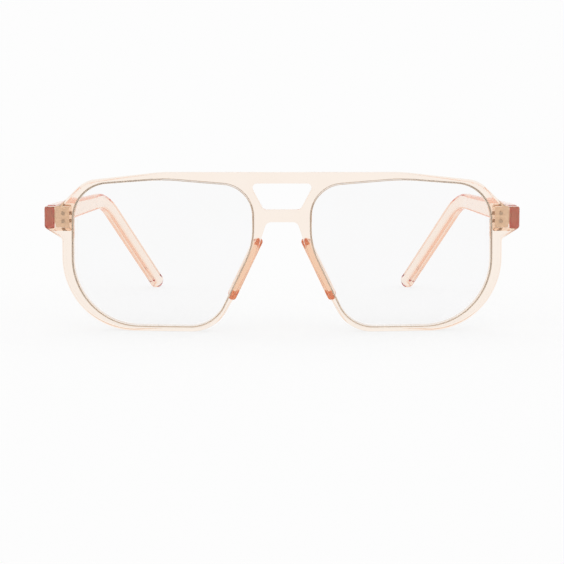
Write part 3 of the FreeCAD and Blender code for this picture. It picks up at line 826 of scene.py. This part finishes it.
def new_material(name):
    material = bpy.data.materials.new(name)
    material.use_nodes = True
    tree = material.node_tree
    return material, tree, tree.nodes["Principled BSDF"], tree.nodes["Material Output"]


def grain(tree, scale, detail=2.0, stretch=(1, 1, 1)):
    """Noise on object coordinates, stretched along the axes."""
    coordinates = tree.nodes.new("ShaderNodeTexCoord")
    mapping = tree.nodes.new("ShaderNodeMapping")
    mapping.inputs["Scale"].default_value = stretch
    noise = tree.nodes.new("ShaderNodeTexNoise")
    noise.inputs["Scale"].default_value = scale
    noise.inputs["Detail"].default_value = detail
    tree.links.new(coordinates.outputs["Object"], mapping.inputs["Vector"])
    tree.links.new(mapping.outputs["Vector"], noise.inputs["Vector"])
    return noise.outputs["Fac"]


def ranged(tree, value, low, high):
    spread = tree.nodes.new("ShaderNodeMapRange")
    spread.inputs["To Min"].default_value = low
    spread.inputs["To Max"].default_value = high
    tree.links.new(value, spread.inputs["Value"])
    return spread.outputs["Result"]


def tinted(tree, value, first, second):
    ramp = tree.nodes.new("ShaderNodeValToRGB")
    ramp.color_ramp.elements[0].color = (*first, 1)
    ramp.color_ramp.elements[1].color = (*second, 1)
    ramp.color_ramp.elements[0].position = RAMP_START
    ramp.color_ramp.elements[1].position = RAMP_END
    tree.links.new(value, ramp.inputs["Fac"])
    return ramp.outputs["Color"]


def bumped(tree, shader, value, distance):
    bump = tree.nodes.new("ShaderNodeBump")
    bump.inputs["Strength"].default_value = 1.0
    bump.inputs["Distance"].default_value = distance
    tree.links.new(value, bump.inputs["Height"])
    tree.links.new(bump.outputs["Normal"], shader.inputs["Normal"])


def sawn_face(tree, polished, face):
    """Roughness that is matt on the sawn face at y = face and turns to the polished value behind it."""
    coordinates = tree.nodes.new("ShaderNodeTexCoord")
    parts = tree.nodes.new("ShaderNodeSeparateXYZ")
    cut = tree.nodes.new("ShaderNodeMapRange")
    cut.inputs["From Min"].default_value = face
    cut.inputs["From Max"].default_value = face + SAWN_DEPTH * MM
    cut.inputs["To Min"].default_value = SAWN_ROUGHNESS
    cut.inputs["To Max"].default_value = 0.0
    duller = tree.nodes.new("ShaderNodeMath")
    duller.operation = "MAXIMUM"
    tree.links.new(coordinates.outputs["Object"], parts.inputs["Vector"])
    tree.links.new(parts.outputs["Y"], cut.inputs["Value"])
    tree.links.new(polished, duller.inputs[0])
    tree.links.new(cut.outputs["Result"], duller.inputs[1])
    return duller.outputs["Value"]


def clear_plastic(name, first, second, absorbed, density, roughness=(0.0, 0.05), ripple=2e-6, sawn=None):
    """Polished clear plastic: the colour deepens with the way light travels through it.

    Sawn is the y of a matt face, where the plastic has one.
    """
    material, tree, shader, output = new_material(name)
    shader.inputs["Transmission Weight"].default_value = 1.0
    shader.inputs["IOR"].default_value = PLASTIC_IOR
    tree.links.new(tinted(tree, grain(tree, CLOUD_SCALE), first, second), shader.inputs["Base Color"])
    dull = ranged(tree, grain(tree, GLOSS_SCALE, 3), *roughness)
    if sawn is not None:
        dull = sawn_face(tree, dull, sawn)
    tree.links.new(dull, shader.inputs["Roughness"])
    bumped(tree, shader, grain(tree, RIPPLE_SCALE, 1), ripple)
    volume = tree.nodes.new("ShaderNodeVolumeAbsorption")
    volume.inputs["Color"].default_value = (*absorbed, 1)
    volume.inputs["Density"].default_value = density
    tree.links.new(volume.outputs["Volume"], output.inputs["Volume"])
    return material


def brushed_metal(name, first, second, roughness, stretch, depth):
    """Metal with fine streaks, drawn out along the axes with a small stretch."""
    material, tree, shader, _ = new_material(name)
    shader.inputs["Metallic"].default_value = 1.0
    streaks = grain(tree, STREAK_SCALE, 4, stretch)
    tree.links.new(tinted(tree, streaks, first, second), shader.inputs["Base Color"])
    tree.links.new(ranged(tree, streaks, *roughness), shader.inputs["Roughness"])
    bumped(tree, shader, streaks, depth)
    return material


def ground_plastic_painted_shade(name, first, second):
    """The matt edge that grinding leaves on a lens, tinted like the rim round it: the matt finish is real,
    the tint is painted shade, the darker line that the groove shows.
    """
    material, tree, shader, _ = new_material(name)
    scratches = grain(tree, SCRATCH_SCALE, 4)
    tree.links.new(tinted(tree, scratches, first, second), shader.inputs["Base Color"])
    tree.links.new(ranged(tree, scratches, *GROUND_ROUGHNESS), shader.inputs["Roughness"])
    bumped(tree, shader, scratches, GROUND_BUMP)
    return material


front_plastic = clear_plastic(
    "peach_plastic_front",
    first=(1.0, 0.99, 0.98),
    second=(0.99, 0.97, 0.95),
    absorbed=(0.95, 0.72, 0.5),
    density=100,
)
temple_plastic = clear_plastic(
    "peach_plastic_temple",
    first=(0.99, 0.935, 0.875),
    second=(0.98, 0.91, 0.84),
    absorbed=(0.975, 0.68, 0.47),
    density=85,
    sawn=(TEMPLE_FRONT + FOREMOST) * MM,
)
pad_plastic = clear_plastic(
    "peach_plastic_pad",
    first=(0.99, 0.92, 0.85),
    second=(0.975, 0.89, 0.81),
    absorbed=(0.93, 0.62, 0.38),
    density=105,
)
lens_plastic = clear_plastic(
    "coated_lens",
    first=(0.99, 0.99, 0.995),
    second=(0.985, 0.985, 0.985),
    absorbed=(0.9, 0.9, 0.9),
    density=100,
    roughness=(0.0, 0.01),
    ripple=2e-7,
)
nickel = brushed_metal(
    "nickel_silver",
    first=(0.96, 0.87, 0.76),
    second=(0.74, 0.64, 0.53),
    roughness=(0.22, 0.4),
    stretch=(1, 1, 14),
    depth=6e-6,
)
rivet_nickel = brushed_metal(
    "rivet_nickel",
    first=(0.62, 0.52, 0.42),
    second=(0.42, 0.33, 0.25),
    roughness=(0.25, 0.45),
    stretch=(6, 1, 1),
    depth=6e-6,
)
plated_steel = brushed_metal(
    "plated_steel",
    first=(0.82, 0.80, 0.78),
    second=(0.6, 0.58, 0.55),
    roughness=(0.12, 0.28),
    stretch=(1, 1, 1),
    depth=4e-6,
)
# the peach-tan colour of the lens edge band is painted shade of the groove; only its matt, scratched finish
# is a real ground edge
ground_edge_painted_shade = ground_plastic_painted_shade("ground_lens_edge_painted_shade", (1.0, 0.84, 0.67), (0.94, 0.74, 0.56))


def dress(piece, material, body, slot, *nodes):
    """Give a finished piece its material and its body, and hide the CAD nodes it stands for; the slot is
    not used.
    """
    piece.data.materials.clear()
    piece.data.materials.append(material)
    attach(piece, body)
    if nodes:
        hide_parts(*nodes)


band = band_tree()
peened = rivet_tree()
dress(front(), front_plastic, "front", "front_plastic", "front_frame")
for side in SIDES:
    dress(lens(side), lens_plastic, "front", "lens_clear", f"lens_{side}")
    dress(nose_pad(side), pad_plastic, "front", "pad_plastic", f"nose_pad_{side}")
    dress(temple(side), temple_plastic, f"temple_arm_{side}", "temple_plastic", f"temple_{side}")
    dress(lens_edge(side, band, ground_edge_painted_shade), ground_edge_painted_shade, "front", "lens_clear")
    for cad_node, body, heading in (
        (f"front_leaf_rivets_{side}", "front", (0, 1, 0)),
        (f"temple_leaf_rivets_{side}", f"temple_arm_{side}", (-SIDES[side], 0, 0)),
    ):
        dress(rivets(cad_node, heading, peened, rivet_nickel), rivet_nickel, body, "rivet_metal", cad_node)
    for part, material in (
        ("front_hinge_leaf", nickel),
        ("temple_hinge_leaf", nickel),
        ("hinge_screw", plated_steel),
    ):
        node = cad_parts[f"{part}_{side}"]
        for slot in node.material_slots:
            slot.material = material

# ---------------------------------------------------------------- stage

WHITE = (0.982, 0.982, 0.982)
FLOOR_REACH = 6.0
FLOOR_GREY = 0.24
FLOOR_GLOW = 0.746
LIGHT_BOUNCES = 40
CAMERA_LENS = 106.7
CAMERA_DISTANCE = 500.0
CAMERA_HEIGHT = 65.7
CAMERA_PITCH = math.radians(5.76)


def stage_floor():
    """A plain table lit from below, so that clear plastic casts hardly any shadow on it."""
    mesh = bpy.data.meshes.new("floor")
    reach = FLOOR_REACH
    corners = [(-reach, -reach, 0), (reach, -reach, 0), (reach, reach, 0), (-reach, reach, 0)]
    mesh.from_pydata(corners, [], [(0, 1, 2, 3)])
    floor = bpy.data.objects.new("floor", mesh)
    bpy.context.scene.collection.objects.link(floor)
    material = bpy.data.materials.new("light_table")
    material.use_nodes = True
    tree = material.node_tree
    shader = tree.nodes["Principled BSDF"]
    shader.inputs["Base Color"].default_value = (FLOOR_GREY, FLOOR_GREY, FLOOR_GREY, 1)
    shader.inputs["Roughness"].default_value = 1.0
    shader.inputs["Specular IOR Level"].default_value = 0.0
    shader.inputs["Emission Color"].default_value = (1, 1, 1, 1)
    shader.inputs["Emission Strength"].default_value = FLOOR_GLOW
    mesh.materials.append(material)


def studio():
    """White light from all round, and enough bounces for light to find its way out of clear plastic."""
    world = bpy.data.worlds.new("white_studio")
    bpy.context.scene.world = world
    world.use_nodes = True
    background = world.node_tree.nodes["Background"]
    background.inputs["Color"].default_value = (*WHITE, 1)
    background.inputs["Strength"].default_value = 1.0
    bpy.context.scene.view_settings.view_transform = "Standard"
    cycles = bpy.context.scene.cycles
    cycles.max_bounces = LIGHT_BOUNCES
    cycles.transmission_bounces = LIGHT_BOUNCES
    cycles.glossy_bounces = LIGHT_BOUNCES


def camera():
    """A long lens straight in front of the glasses, a little above them."""
    data = bpy.data.cameras.new("camera")
    data.sensor_width = 36.0
    data.lens = CAMERA_LENS
    data.clip_start = 0.01
    made = bpy.data.objects.new("camera", data)
    bpy.context.scene.collection.objects.link(made)
    made.location = (0, (FOREMOST - CAMERA_DISTANCE) * MM, CAMERA_HEIGHT * MM)
    made.rotation_euler = (math.pi / 2 - CAMERA_PITCH, 0, 0)
    bpy.context.scene.camera = made


stage_floor()
studio()
camera()
